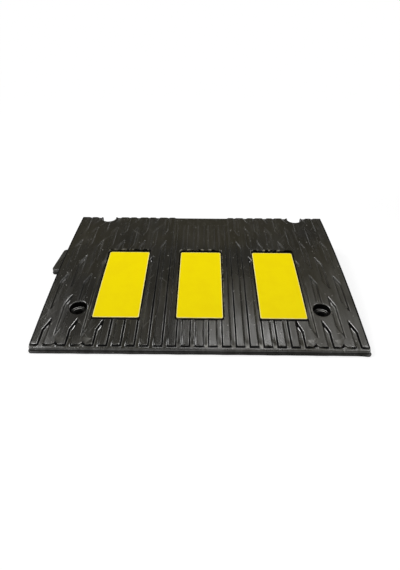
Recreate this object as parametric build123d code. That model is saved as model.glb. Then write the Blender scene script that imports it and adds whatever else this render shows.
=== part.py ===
from build123d import *
import os

# Rubber kerb ramp section, in millimetres. X runs along the kerb, Y climbs from the low edge
# to the crest, Z is up. The origin is the middle of the rubber's footprint, on the ground.

# Rubber wedge
width = 500.0              # along the kerb, without the side tongue
depth = 360.0              # low edge to crest face
crest_height = 70.0        # ground to rib tops at the crest
low_edge = 6.5             # height of the plain front face
crown_rise = 7.5           # rise of the arched top over its straight chord
corner_radius = 5.0        # front corners, seen from above

# Tread: ribs that climb the ramp, parted by slots
rib_count = 25
slot_width = 8.0
rib_height = 3.0
front_margin = 5.0         # plain strip in front of the ribs
slot_length = 85.0         # tip to tip
slot_skew = 21.0           # run of a slot's slanted ends
slot_repeat = 105.0        # from one slot to the next one up the ramp
slot_stagger = 52.5        # shift of every second column up the ramp
first_slot = -30.0         # low edge to the tip of the first slot, which starts off the ramp
slot_rows = 4
joined_run = 200.0         # low edge to where the slots near the panels stop running together
plain_columns = 3          # columns each side of the middle that run whole to the crest pad
open_columns = 7           # columns each side of the middle that are open at the low edge
joined_columns = 9         # columns each side of the middle whose slots run together
notch_width = 9.0          # small notch in the low edge of a wide rib
notch_depth = 4.0
crest_pad_depth = 33.0     # bare pad at the middle of the crest

# Reflective panels in their pockets
panel_width = 73.4
panel_length = 168.5
panel_corner = 3.0
panel_spacing = 132.0      # middle to middle
panel_start = 61.3         # low edge of the ramp to the low end of a panel
sheet_thickness = 1.1
adhesive_thickness = 0.4
pocket_depth = 4.2         # below the rib tops
layer_gap = 0.1            # between a pocket's floor, its adhesive and its sheet
pocket_side_gap = 2.0
pocket_end_gap = 5.5

# Ground fixings
hole_offset = 23.1         # outer edge of a side pocket to the middle of a hole
hole_setback = 78.2        # low edge to the front pair
crest_hole_inset = 5.0     # crest face to the middle of a crest notch
seat_height = 17.0         # ground to the seat of a bolt head
bolt_hole = 12.5
bush_wall = 2.25
bush_flange = 24.0
bush_flange_thickness = 2.5
flange_gap = 2.0           # round the flange in its counterbore
bush_fit = 0.15            # between the bush's tube and the rubber round it
bush_lift = 1.0            # ground to the lower end of the bush

# Side tongue and the socket that takes the next section's tongue
tongue_reach = 38.5
tongue_length = 88.0
tongue_thickness = 11.0
tongue_corner = 7.0
tongue_start = 235.0       # low edge to the low end of the tongue
socket_gap = 1.0           # round a tongue in its socket

# Hollow underside
cell_columns = 10
cell_rows = 5
web = 12.0                 # rubber between cells, and round the socket and the crest notches
skin = 12.0                # rubber between a cell and the slots above it
side_wall = 26.0
cell_offset = 23.8         # middle of the front holes to the first row of cells
cell_corner = 4.0

# Worked out from the above
low_y = -depth / 2
crest_y = depth / 2
low_top = low_edge + rib_height
rib_width = (width - (rib_count - 1) * slot_width) / rib_count
pitch = rib_width + slot_width
columns = (rib_count - 1) // 2
panel_x = {"left": -panel_spacing, "centre": 0.0, "right": panel_spacing}
panel_y = low_y + panel_start + panel_length / 2
adhesive_bottom = pocket_depth - layer_gap
adhesive_top = adhesive_bottom - adhesive_thickness
sheet_bottom = adhesive_top - layer_gap
sheet_top = sheet_bottom - sheet_thickness
hole_x = panel_spacing + panel_width / 2 + pocket_side_gap + hole_offset
hole_places = {"left": -hole_x, "right": hole_x}
hole_y = low_y + hole_setback
crest_hole_y = crest_y - crest_hole_inset
counterbore = bush_flange + 2 * flange_gap
tube_diameter = bolt_hole + 2 * bush_wall
tongue_y = low_y + tongue_start + tongue_length / 2
through = 2 * crest_height  # long enough to pass right through the rubber


def arch(drop):
    """Line of the rib tops seen from the side, lowered by drop."""
    low = (0, low_y, low_top - drop)
    middle = (0, 0, (low_top + crest_height) / 2 + crown_rise - drop)
    high = (0, crest_y, crest_height - drop)
    return ThreePointArc(low, middle, high)


def across(outline, half_length):
    """Solid of a side outline carried along the kerb, centred."""
    return extrude(make_face(outline), amount=half_length, dir=(1, 0, 0), both=True)


def arched_layer(top, bottom):
    """Layer that follows the arched top, between two depths below the rib tops.

    It runs on past the ramp on every side, so that what it cuts leaves no edge uncut.
    """
    upper = arch(top)
    lower = arch(bottom)
    past = Vector(0, front_margin, 0)
    low_end = Polyline(upper @ 0, upper @ 0 - past, lower @ 0 - past, lower @ 0)
    high_end = Polyline(upper @ 1, upper @ 1 + past, lower @ 1 + past, lower @ 1)
    return across([upper, low_end, lower, high_end], width)


def upright(plan, bottom, top):
    """Prism of a plan shape between two heights."""
    return extrude(Pos(0, 0, bottom) * plan, amount=top - bottom)


def carved(layer, plans):
    """The parts of a layer that lie inside plan shapes."""
    return layer & upright(Sketch() + plans, -through, through)


def round_bar(x, y, diameter, bottom, top):
    """Upright cylinder between two heights."""
    return upright(Pos(x, y) * Circle(diameter / 2), bottom, top)


def wedge():
    """Plain wedge up to the rib tops."""
    top = arch(0)
    floor = Polyline(top @ 0, (0, low_y, 0), (0, crest_y, 0), top @ 1)
    return across([top, floor], width / 2)


def treaded_wedge():
    """Wedge with its tread cut, and its front corners rounded below the ribs."""
    solid = wedge() - carved(arched_layer(-rib_height, rib_height), tread_plans())
    corners = solid.edges().filter_by(Axis.Z).group_by(Axis.Y)[0]
    return fillet(corners, corner_radius)


def tongue():
    """Flat tongue on the left side, its two outer corners rounded."""
    plan = Pos(-width / 2, tongue_y) * Rectangle(2 * tongue_reach, tongue_length)
    block = upright(plan, 0, tongue_thickness)
    corners = block.edges().filter_by(Axis.Z).group_by(Axis.X)[0]
    return fillet(corners, tongue_corner)


def socket():
    """Room under the right side for the next section's tongue."""
    plan = Rectangle(2 * (tongue_reach + socket_gap), tongue_length + 2 * socket_gap)
    return upright(Pos(width / 2, tongue_y) * plan, -through, tongue_thickness + socket_gap)


def slot_spans(column):
    """Low and high ends of the slots in a column, counted from the middle of the ramp.

    Middle columns are one slot. The next ones run together beside the panels, and the outer
    ones are a row of slots. Every second column is shifted up the ramp.
    """
    off_ramp = low_y - slot_skew
    if column < plain_columns:
        return [(off_ramp, crest_y)]
    shift = slot_stagger if column % 2 == 0 else 0.0
    tips = [low_y + first_slot + shift + row * slot_repeat for row in range(slot_rows)]
    spans = [(tip, tip + slot_length) for tip in tips]
    if column >= joined_columns:
        return spans
    run = [span for span in spans if span[0] < low_y + joined_run]
    start = off_ramp if column < open_columns else run[0][0]
    return [(start, run[-1][1]), *spans[len(run):]]


def slot_plan(column, side, low, high):
    """Slot seen from above, with ends that slant towards the middle going up the ramp."""
    middle = (column + 0.5) * pitch
    outer = side * (middle + slot_width / 2)
    inner = side * (middle - slot_width / 2)
    slant = 0.0 if column < plain_columns else slot_skew
    corners = [(outer, low), (outer, high - slant), (inner, high), (inner, low + slant)]
    return make_face(Polyline(*corners, close=True))


def notch_plan(column, side):
    """Small notch in the low edge of the wide rib where a column starts further up."""
    middle = side * (column + 0.5) * pitch
    edge = low_y + front_margin
    corners = [
        (middle - notch_width / 2, edge),
        (middle, low_y),
        (middle + notch_width / 2, edge),
        (middle, edge + notch_depth),
    ]
    return make_face(Polyline(*corners, close=True))


def tread_plans():
    """Every shape that is sunk from the rib tops to the slot floor."""
    pad_width = (2 * plain_columns - 1) * pitch + slot_width
    plans = [Pos(0, low_y) * Rectangle(2 * width, 2 * front_margin)]
    plans.append(Pos(0, crest_y) * Rectangle(pad_width, 2 * crest_pad_depth))
    for side in (-1, 1):
        for column in range(columns):
            plans += [slot_plan(column, side, low, high) for low, high in slot_spans(column)]
            if column >= open_columns and column % 2 == 0:
                plans.append(notch_plan(column, side))
    return plans


def panel_plan(x, side_gap, end_gap):
    """Rounded rectangle of a panel with a gap round it."""
    across_gap = panel_width + 2 * side_gap
    along_gap = panel_length + 2 * end_gap
    return Pos(x, panel_y) * RectangleRounded(across_gap, along_gap, panel_corner + side_gap)


def pocket_plans():
    """The panels' pockets seen from above."""
    return [panel_plan(x, pocket_side_gap, pocket_end_gap) for x in panel_x.values()]


def panel_piece(x, top, bottom):
    """One layer of a panel, bent to the arch, between two depths below the rib tops."""
    return carved(arched_layer(top, bottom), [panel_plan(x, 0, 0)])


def fixing_holes():
    """Front holes for the bushes, and the crest notches that a bolt shares with the next piece."""
    cuts = []
    for x in hole_places.values():
        cuts.append(round_bar(x, hole_y, tube_diameter + 2 * bush_fit, -through, through))
        cuts.append(round_bar(x, crest_hole_y, bolt_hole, -through, through))
        cuts += [round_bar(x, y, counterbore, seat_height, through) for y in (hole_y, crest_hole_y)]
    return cuts


def cell_plans():
    """Cells of the underside seen from below, left out where the socket and its wall are."""
    cell_x = (width - 2 * side_wall - (cell_columns - 1) * web) / cell_columns
    first = hole_y + cell_offset
    last = crest_hole_y - counterbore / 2 - web
    cell_y = (last - first - (cell_rows - 1) * web) / cell_rows
    grid = Pos(0, (first + last) / 2) * GridLocations(cell_x + web, cell_y + web, cell_columns, cell_rows)
    socket_x = width / 2 - tongue_reach - socket_gap - web
    socket_y = tongue_length / 2 + socket_gap + web
    cells = []
    for place in grid:
        over_x = place.position.X + cell_x / 2 > socket_x
        over_y = abs(place.position.Y - tongue_y) < socket_y + cell_y / 2
        if not (over_x and over_y):
            cells.append(place * RectangleRounded(cell_x, cell_y, cell_corner))
    return cells


def rubber_body():
    """The one moulding that all the rest sits in."""
    body = treaded_wedge() + tongue()
    body -= carved(arched_layer(-rib_height, pocket_depth), pocket_plans())
    body -= fixing_holes()
    body -= socket()
    under_skin = arched_layer(rib_height + skin, rib_height + skin + through)
    return body - carved(under_skin, cell_plans())


def fixing_bush(x):
    """Steel bush with a flange that a ground bolt's head bears on."""
    flange_top = seat_height + bush_flange_thickness
    bush = round_bar(x, hole_y, tube_diameter, bush_lift, seat_height)
    bush += round_bar(x, hole_y, bush_flange, seat_height, flange_top)
    return bush - round_bar(x, hole_y, bolt_hole, -through, through)


nodes = {"rubber_body": rubber_body()}
for place, x in panel_x.items():
    nodes[f"reflective_sheet_{place}"] = panel_piece(x, sheet_top, sheet_bottom)
    nodes[f"adhesive_layer_{place}"] = panel_piece(x, adhesive_top, adhesive_bottom)
for place, x in hole_places.items():
    nodes[f"fixing_bush_{place}"] = fixing_bush(x)

os.makedirs("parts", exist_ok=True)
for name, solid in nodes.items():
    export_step(solid, f"parts/{name}.step")
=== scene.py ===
import logging
import math
from dataclasses import dataclass
from enum import Enum
from typing import Callable, Protocol

import bmesh
import bpy
import numpy as np
from mathutils import Matrix
from mathutils.geometry import delaunay_2d_cdt


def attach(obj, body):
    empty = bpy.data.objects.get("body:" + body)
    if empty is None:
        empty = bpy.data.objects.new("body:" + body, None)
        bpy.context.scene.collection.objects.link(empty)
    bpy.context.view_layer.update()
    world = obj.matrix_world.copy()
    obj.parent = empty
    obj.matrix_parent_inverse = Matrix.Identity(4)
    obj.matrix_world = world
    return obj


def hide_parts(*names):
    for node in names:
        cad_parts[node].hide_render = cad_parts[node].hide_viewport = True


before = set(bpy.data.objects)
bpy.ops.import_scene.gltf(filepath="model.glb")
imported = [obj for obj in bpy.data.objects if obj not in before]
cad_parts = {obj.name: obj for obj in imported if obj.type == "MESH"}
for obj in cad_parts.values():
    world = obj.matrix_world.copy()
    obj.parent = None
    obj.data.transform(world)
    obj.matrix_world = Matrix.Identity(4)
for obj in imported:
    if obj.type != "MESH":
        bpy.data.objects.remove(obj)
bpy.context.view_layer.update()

# Sizes are in millimetres, as in the part's source, unless a comment says metres.
# X runs along the kerb, Y climbs the ramp, Z is up.
MM = 0.001                 # metres in a millimetre
BODY = "root"              # the one body that every piece rides on
LINE_STEP = 8.0            # longest distance between two points of a plan line
ARC_STEP = math.radians(30.0)  # largest turn between two points of an offset corner
QUARTER_POINTS = 6         # points of a rounded corner
CLOSE_POINTS = 0.05        # nearer points of a plan line are taken as one
RING_TOLERANCE = 0.06      # how far a ring may lie from its own distance
PLAN_EPSILON = 1e-4        # points of a triangulation nearer than this are one
MERGE_REACH = 2e-6         # metres; vertices nearer than this are joined
SHARP_ANGLE = math.radians(18.0)  # edges that turn more than this stay sharp
NO_LENGTH = 1e-9           # shorter directions count as none

LOG = logging.getLogger("kerb_ramp")
Array = np.ndarray
Socket = bpy.types.NodeSocket
Pair = tuple[float, float]
Triple = tuple[float, float, float]
Colour = tuple[float, float, float, float]


class Place(Enum):
    """Places along the kerb, each with its direction from the middle."""

    LEFT = -1
    CENTRE = 0
    RIGHT = 1

    def named(self, piece: str) -> str:
        """Name of a piece or a CAD node at this place."""
        return f"{piece}_{self.name.lower()}"


class FinishSlot(Enum):
    """Material slots of the part's record."""

    RUBBER = "rubber"
    SHEET = "reflective_sheet"
    ADHESIVE = "adhesive"
    STEEL = "bush_steel"


class PlanShape(Protocol):
    """A shape seen from above, with its distance and the lines round it."""

    closed: bool

    def distance(self, plan: Array) -> Array:
        """Signed distance of plan points from the outline, negative inside."""

    def ring(self, offset: float) -> Array:
        """Line at a distance outside the outline."""


@dataclass(frozen=True)
class Polygon:
    """Convex plan shape given by its corners in anticlockwise order."""

    corners: Array
    closed: bool = True

    def runs(self) -> Array:
        """Edge vectors, one leaving each corner."""
        return np.roll(self.corners, -1, axis=0) - self.corners

    def normals(self) -> Array:
        """Outward unit normals of the edges.

        Returns:
            One normal per edge.
        """
        runs = self.runs()
        normal = np.stack([runs[:, 1], -runs[:, 0]], axis=1)
        return normal / np.linalg.norm(normal, axis=1, keepdims=True)

    def distance(self, plan: Array) -> Array:
        """Signed distance, from each point's projection on every edge.

        Args:
            plan: Points seen from above, one per row.

        Returns:
            Distance to the nearest edge, negative where the point is on every edge's inner side.
        """
        runs = self.runs()
        away = plan[:, None, :] - self.corners
        share = np.clip((away * runs).sum(2) / (runs * runs).sum(1), 0.0, 1.0)
        least = np.linalg.norm(away - share[..., None] * runs, axis=2).min(1)
        inside = ((away * self.normals()).sum(2) <= 0.0).all(1)
        return np.where(inside, -least, least)

    def ring(self, offset: float) -> Array:
        """Line round the shape: arcs about the corners outside, meeting edges inside.

        Args:
            offset: Distance outside the outline, negative for a line inside it.

        Returns:
            Points of the closed line.
        """
        after = self.normals()
        before = np.roll(after, 1, axis=0)
        start = np.arctan2(before[:, 1], before[:, 0])
        turn = np.mod(np.arctan2(after[:, 1], after[:, 0]) - start, 2.0 * np.pi)
        steps = math.ceil(turn.max() / ARC_STEP)
        if offset <= 0.0 or steps == 1:
            mitre = (before + after) / (1.0 + (before * after).sum(1, keepdims=True))
            return divided(self.corners + offset * mitre)
        angle = start[:, None] + turn[:, None] * np.linspace(0.0, 1.0, steps + 1)
        arcs = self.corners[:, None, :] + offset * np.stack([np.cos(angle), np.sin(angle)], axis=2)
        return divided(arcs.reshape(-1, 2))


@dataclass(frozen=True)
class Disc:
    """Round plan shape."""

    x: float
    y: float
    radius: float
    segments: int = 56
    closed: bool = True

    def distance(self, plan: Array) -> Array:
        """Signed distance: the distance from the middle less the radius."""
        return np.hypot(plan[:, 0] - self.x, plan[:, 1] - self.y) - self.radius

    def ring(self, offset: float) -> Array:
        """Circle that lies the offset outside the rim."""
        return np.array([self.x, self.y]) + (self.radius + offset) * circle_points(self.segments)


@dataclass(frozen=True)
class CornerFill:
    """Sunk space that rounds off a rib's corner, between an arc and the corner it replaces."""

    x: float
    y: float
    toward: Pair
    radius: float
    closed: bool = False

    def distance(self, plan: Array) -> Array:
        """Signed distance of the space outside the arc in the arc's own quarter.

        Args:
            plan: Points seen from above, one per row.

        Returns:
            The largest of the distances past the quarter's four sides and inside the arc.
        """
        local = (plan - np.array([self.x, self.y])) * np.array(self.toward)
        past = np.maximum(-local.min(1), local.max(1) - self.radius)
        return np.maximum(past, self.radius - np.linalg.norm(local, axis=1))

    def ring(self, offset: float) -> Array:
        """Quarter arc that lies the offset inside the corner's own arc.

        Args:
            offset: Distance from the arc, towards its middle.

        Returns:
            Points of the open line.
        """
        angle = np.linspace(0.0, np.pi / 2.0, QUARTER_POINTS)
        arc = np.stack([np.cos(angle), np.sin(angle)], axis=1) * np.array(self.toward)
        return np.array([self.x, self.y]) + (self.radius - offset) * arc


def circle_points(count: int) -> Array:
    """Points of a unit circle, anticlockwise: the cosine and sine of even angles."""
    angle = np.arange(count) * (2.0 * np.pi / count)
    return np.stack([np.cos(angle), np.sin(angle)], axis=1)


def divided(line: Array) -> Array:
    """Closed line with near points dropped and long edges cut into equal steps.

    Args:
        line: Points of a closed line.

    Returns:
        Points on the same line, no further apart than the line step.
    """
    line = line[np.linalg.norm(line - np.roll(line, 1, axis=0), axis=1) > CLOSE_POINTS]
    runs = np.roll(line, -1, axis=0) - line
    count = np.ceil(np.linalg.norm(runs, axis=1) / LINE_STEP).astype(int)
    index = np.repeat(np.arange(len(line)), count)
    share = (np.arange(len(index)) - np.repeat(np.cumsum(count) - count, count)) / count[index]
    return line[index] + share[:, None] * runs[index]


def rectangle(low: Pair, high: Pair, radii: tuple[float, ...] = (0.0,) * 4) -> Polygon:
    """Rectangle with a radius at each corner: low left, low right, high right, high left.

    Args:
        low: Lowest x and y.
        high: Highest x and y.
        radii: Corner radii; a radius of 0 leaves the corner sharp.

    Returns:
        The polygon, each round corner drawn as a quarter circle about its own middle.
    """
    places = ((low[0], low[1]), (high[0], low[1]), (high[0], high[1]), (low[0], high[1]))
    inward = ((1, 1), (-1, 1), (-1, -1), (1, -1))
    corners = []
    for quarter, (place, way, radius) in enumerate(zip(places, inward, radii)):
        share = np.linspace(0.0, 1.0, QUARTER_POINTS if radius else 1)
        angle = np.pi + (quarter + share) * np.pi / 2.0
        middle = np.array(place) + radius * np.array(way)
        corners.append(middle + radius * np.stack([np.cos(angle), np.sin(angle)], axis=1))
    return Polygon(np.concatenate(corners))


def mirrored(corners: list[Pair]) -> tuple[Polygon, Polygon]:
    """A polygon right of the middle and its mirror image, both anticlockwise."""
    right = np.array(corners)
    return Polygon(right), Polygon((right * (-1.0, 1.0))[::-1])


def nearest(shapes: list[PlanShape], plan: Array) -> Array:
    """Signed distance from the union of shapes: the least of their own distances."""
    return np.min([shape.distance(plan) for shape in shapes], axis=0)


def quarter_round(inside: Array, radius: float) -> Array:
    """Drop of a rounded rim by the distance in from its wall: the radius less a circle's height."""
    short = radius - np.clip(inside, 0.0, radius)
    return radius - np.sqrt(radius**2 - short**2)


@dataclass(frozen=True)
class EdgeSection:
    """Section across a sunk edge: bevelled rim, steep wall, bevelled foot.

    The sunk depth is read off a line through pairs of distance from the outline and depth,
    with the distance negative on the sunk side. Rim, draft and foot are widths in plan, ease and
    foot_ease the heights of the bevels, and lean the share of the draft outside the outline.
    """

    depth: float
    rim: float = 1.15
    foot: float = 1.5
    draft: float = 1.25
    ease: float = 0.87
    lean: float = 0.5
    foot_ease: float = 1.05

    # Marks of the painted black shade across the section, from the floor outwards.
    WALL_MARKS = (0.0, 1.5, 1.7, 0.0)

    @property
    def distances(self) -> tuple[float, ...]:
        """Places of the section's corners, from the floor outwards."""
        top = self.lean * self.draft
        return top - self.draft - self.foot, top - self.draft, top, top + self.rim

    def drop(self, distance: Array) -> Array:
        """Depth below the surface at a distance from the outline."""
        depths = (self.depth, self.depth - self.foot_ease, self.ease, 0.0)
        return np.interp(distance, self.distances, depths)

    def wall(self, distance: Array) -> Array:
        """Mark of the steep wall's painted black shade: past 1 on it, so that the black reaches
        into both bevels.
        """
        return np.interp(distance, self.distances, self.WALL_MARKS)


@dataclass(frozen=True)
class Arch:
    """Arched line of the rib tops seen from the side: a circle through three points."""

    half_depth: float = 180.0
    low_top: float = 10.3
    crest_height: float = 70.0
    crown_rise: float = 7.1

    def height(self, y: Array) -> Array:
        """Height of the rib tops, on the circle y² + z² = 2ay + 2bz + c.

        Args:
            y: Places up the ramp.

        Returns:
            The circle's upper height at each place.
        """
        middle = (self.low_top + self.crest_height) / 2.0 + self.crown_rise
        y_known = np.array([-self.half_depth, 0.0, self.half_depth])
        z_known = np.array([self.low_top, middle, self.crest_height])
        sides = np.stack([2.0 * y_known, 2.0 * z_known, np.ones(3)], axis=1)
        a, b, c = np.linalg.solve(sides, y_known**2 + z_known**2)
        return b + np.sqrt(b * b + c + 2.0 * a * y - y**2)


class LineSet:
    """Plan lines gathered as points and edges for one triangulation."""

    def __init__(self) -> None:
        """Starts with no lines."""
        self.points: list[Array] = [np.zeros((0, 2))]
        self.edges: list[Array] = [np.zeros((0, 2), int)]
        self.count = 0

    def add(self, line: Array, closed: bool = True, keep: Array | None = None) -> None:
        """Adds a line, or the edges of it that have at least one kept end.

        Args:
            line: Points in order.
            closed: Whether the last point joins the first.
            keep: Which points are wanted; all of them if left out.
        """
        index = np.arange(len(line))
        edges = np.stack([index, np.roll(index, -1)], axis=1)[: None if closed else -1]
        self.add_edges(line, edges if keep is None else edges[keep[edges].any(1)])

    def add_edges(self, points: Array, edges: Array) -> None:
        """Adds edges with the points that they use.

        Args:
            points: Points that the edges number.
            edges: Rows of two point numbers.
        """
        used, index = np.unique(edges, return_inverse=True)
        self.points.append(points[used])
        self.edges.append(index.reshape(-1, 2) + self.count)
        self.count += len(used)

    def add_points(self, points: Array) -> None:
        """Adds loose points."""
        self.points.append(points)
        self.count += len(points)

    def triangles(self, region: Callable[[Array], Array]) -> tuple[Array, Array]:
        """Constrained Delaunay triangles whose middles lie in a region.

        Args:
            region: Signed distance of the region, negative inside.

        Returns:
            Plan points, and anticlockwise triangles as rows of three indices.
        """
        points = np.concatenate(self.points).tolist()
        edges = np.concatenate(self.edges).tolist()
        found = delaunay_2d_cdt(points, edges, [], 0, PLAN_EPSILON)
        plan, faces = np.array(found[0], float), np.array(found[2])
        faces = faces[region(plan[faces].mean(1)) < 0.0]
        start, middle, end = (plan[faces[:, corner]] for corner in range(3))
        first, second = middle - start, end - start
        clockwise = first[:, 0] * second[:, 1] < first[:, 1] * second[:, 0]
        faces[clockwise] = faces[clockwise][:, ::-1]
        used, index = np.unique(faces, return_inverse=True)
        return plan[used], index.reshape(-1, 3)


@dataclass(frozen=True)
class WallSection:
    """Section of an outer wall: outward offsets at heights, and a row of points below the rim."""

    heights: tuple[float, ...] = ()
    offsets: tuple[float, ...] = ()
    below_rim: float = 0.0


@dataclass
class PlanSolid:
    """Closed solid between an upper and a lower height over one plan region."""

    region: Callable[[Array], Array]
    upper: Callable[[Array], Array]
    lower: Callable[[Array], Array]
    upper_lines: LineSet
    lower_lines: LineSet
    wall: WallSection = WallSection()
    bulge: Callable[[Array, float], Array] = lambda plan, offset: offset

    def surfaces(self) -> tuple[Array, list[Array]]:
        """Upper face, wall and lower face.

        Each face is the height over a constrained triangulation of its plan lines. The wall
        carries its section along the border of the upper face, down to the lower one.

        Returns:
            Points in millimetres, and arrays of faces as rows of point indices.
        """
        plan, top = self.upper_lines.triangles(self.region)
        rim = self.upper(plan)
        border = self.border(top)
        self.lower_lines.add_edges(plan, border)
        under_plan, under = self.lower_lines.triangles(self.region)
        ends, index = np.unique(border, return_inverse=True)
        index, count = index.reshape(-1, 2), len(ends)
        rows = self.wall_rows(plan[ends], rim[ends], index)
        level = np.arange(len(rows) - 1)[:, None] * count
        first, second = level + index[:, 0], level + index[:, 1]
        quads = np.stack([first, first + count, second + count, second], axis=2).reshape(-1, 4)
        ground = np.column_stack([under_plan, self.lower(under_plan)])
        points = np.concatenate([np.column_stack([plan, rim]), *rows, ground])
        under_start = len(points) - len(ground)
        return points, [top, quads + len(plan), under[:, ::-1] + under_start]

    def wall_rows(self, plan: Array, rim: Array, border: Array) -> list[Array]:
        """Rows of wall points from the rim down, each at the section's offset where it has room.

        Args:
            plan: Border points.
            rim: Height of the upper face at those points.
            border: Directed border edges, as indices of those points.

        Returns:
            One array of points per row.
        """
        out, floor = self.outward(plan, border), self.lower(plan)
        rows = [np.column_stack([plan, rim])]
        if self.wall.below_rim:
            rows.append(np.column_stack([plan, np.maximum(rim - self.wall.below_rim, floor)]))
        for height, offset in zip(self.wall.heights, self.wall.offsets):
            above = rows[-1][:, 2]
            level = np.clip(height, floor, above)
            free = (level > floor) & (level < above)
            reach = np.where(free, self.bulge(plan, offset), 0.0)
            rows.append(np.column_stack([plan + reach[:, None] * out, level]))
        return [*rows, np.column_stack([plan, floor])]

    @staticmethod
    def border(triangles: Array) -> Array:
        """Edges that only one triangle has, each with the region on its left.

        Args:
            triangles: Anticlockwise triangles, as rows of three point indices.

        Returns:
            Directed edges, as rows of two point indices.
        """
        directed = np.concatenate([triangles[:, pair] for pair in ([0, 1], [1, 2], [2, 0])])
        sides = np.sort(directed, axis=1)
        _, index, count = np.unique(sides, axis=0, return_inverse=True, return_counts=True)
        return directed[count[index.ravel()] == 1]

    @staticmethod
    def outward(plan: Array, border: Array) -> Array:
        """Unit directions out of the region: the mean of the normals of the edges that meet.

        Args:
            plan: Border points.
            border: Directed border edges, as indices of those points.

        Returns:
            One direction per border point.
        """
        run = plan[border[:, 1]] - plan[border[:, 0]]
        normal = np.stack([run[:, 1], -run[:, 0]], axis=1)
        normal /= np.linalg.norm(normal, axis=1, keepdims=True)
        total = np.zeros_like(plan)
        np.add.at(total, border[:, 0], normal)
        np.add.at(total, border[:, 1], normal)
        return total / np.maximum(np.linalg.norm(total, axis=1, keepdims=True), NO_LENGTH)


def turned(radius: Array, height: Array, circle: Array) -> Array:
    """Rows of points round the upright axis: a radius times a circle's points, at a height.

    Args:
        radius: One radius per row.
        height: Height of every point, or one column with a height per row.
        circle: Points of a unit circle.

    Returns:
        Points, by row and by place on the circle.
    """
    plan = radius[:, None, None] * circle
    height = np.broadcast_to(height, plan.shape[:2])
    return np.concatenate([plan, height[..., None]], axis=2)


def band_quads(first: Array, second: Array) -> Array:
    """Quads between closed rows of point numbers and the rows that lie above them."""
    ahead = [np.roll(rows, -1, axis=1) for rows in (first, second)]
    return np.stack([first, *ahead, second], axis=2).reshape(-1, 4)


def mesh_object(name: str, points: Array, faces: list[Array],
                marks: dict[str, Array]) -> bpy.types.Object:
    """Smooth mesh object of points in millimetres, with near points merged.

    Args:
        name: Name of the piece.
        points: Points in millimetres.
        faces: Arrays of faces, as rows of point indices.
        marks: Named values per point that the material reads.

    Returns:
        The object, at the origin and in the scene.
    """
    mesh = bpy.data.meshes.new(name)
    mesh.from_pydata((points * MM).tolist(), [], [row for rows in faces for row in rows.tolist()])
    for mark, values in marks.items():
        attribute = mesh.attributes.new(mark, "FLOAT", "POINT")
        attribute.data.foreach_set("value", values.astype(np.float32))
    merged = bmesh.new()
    merged.from_mesh(mesh)
    bmesh.ops.remove_doubles(merged, verts=merged.verts, dist=MERGE_REACH)
    merged.to_mesh(mesh)
    merged.free()
    mesh.polygons.foreach_set("use_smooth", np.ones(len(mesh.polygons), bool))
    mesh.set_sharp_from_angle(angle=SHARP_ANGLE)
    piece = bpy.data.objects.new(name, mesh)
    bpy.context.scene.collection.objects.link(piece)
    shading = piece.modifiers.new("even_shading", "WEIGHTED_NORMAL")
    shading.keep_sharp = True
    return piece


def seat(piece: bpy.types.Object, node: str,
         material: bpy.types.Material) -> bpy.types.Object:
    """Gives a piece its material and puts it on the body in a CAD node's place.

    Args:
        piece: The finished piece.
        node: CAD node that it stands for.
        material: What the piece is made of.

    Returns:
        The same piece.
    """
    piece.data.materials.append(material)
    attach(piece, BODY)
    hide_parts(node)
    return piece


@dataclass(frozen=True)
class Pattern:
    """Noise over a piece's own coordinates.

    The scale is in cycles per metre, and detail counts the finer layers. An axis with a smaller
    stretch has longer marks. Shift moves the pattern, and turn turns it in plan.
    """

    scale: float
    detail: float
    stretch: Triple = (1.0, 1.0, 1.0)
    shift: Triple = (0.0, 0.0, 0.0)
    turn: float = 0.0


@dataclass(frozen=True)
class Step:
    """Smooth step of a value: from start, where it is low, to end, where it is high."""

    low: float
    high: float
    start: float = 0.0
    end: float = 1.0


@dataclass(frozen=True)
class Relief:
    """Strength of a bump and its depth in metres."""

    strength: float
    depth: float


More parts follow.
